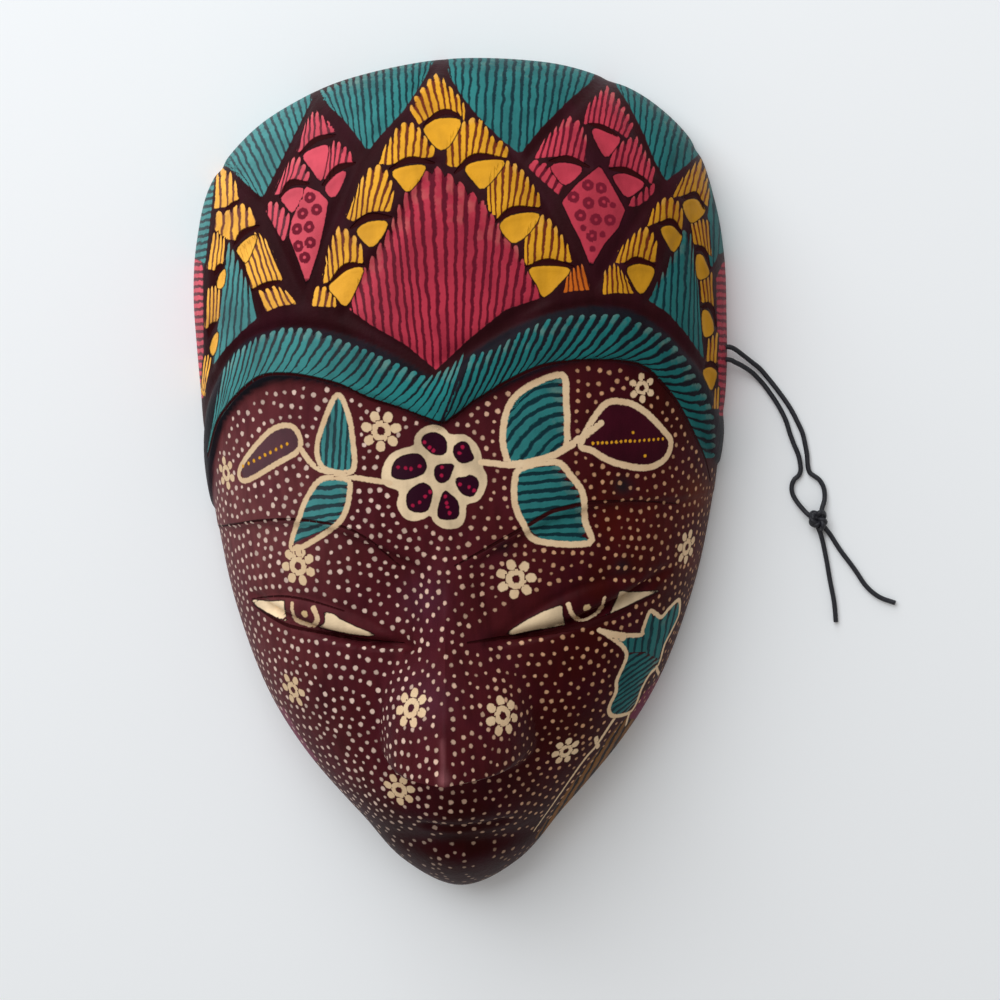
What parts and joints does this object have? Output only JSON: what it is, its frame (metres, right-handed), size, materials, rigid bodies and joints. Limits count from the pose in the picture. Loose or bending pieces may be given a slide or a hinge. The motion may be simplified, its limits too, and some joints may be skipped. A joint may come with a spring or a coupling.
{
  "type": "wall mask",
  "caption": "Carved wooden wall mask with a domed crown, a heart-shaped diadem, closed eyes and a long nose, hollowed behind, with a thin knotted hanging cord.",
  "frame": {"origin": "on the ground, under the middle of the mask's bounding box, its cord left out", "axes": "+Z out of the face, away from the flat rim that it lies on; +Y towards the crown; +X towards the viewer's right, where the cord leaves the rim"},
  "size_m": [0.1597, 0.1935, 0.0572],
  "materials": {
    "batik_dyed_wood": "satin wax over dark maroon dye",
    "black_waxed_cord": "dull black waxed cotton"
  },
  "bodies": {
    "root": {"mask": "batik_dyed_wood", "cord_strand_upper": "black_waxed_cord", "cord_strand_lower": "black_waxed_cord", "cord_knot": "black_waxed_cord", "cord_tail_left": "black_waxed_cord", "cord_tail_right": "black_waxed_cord"}
  },
  "joints": []
}
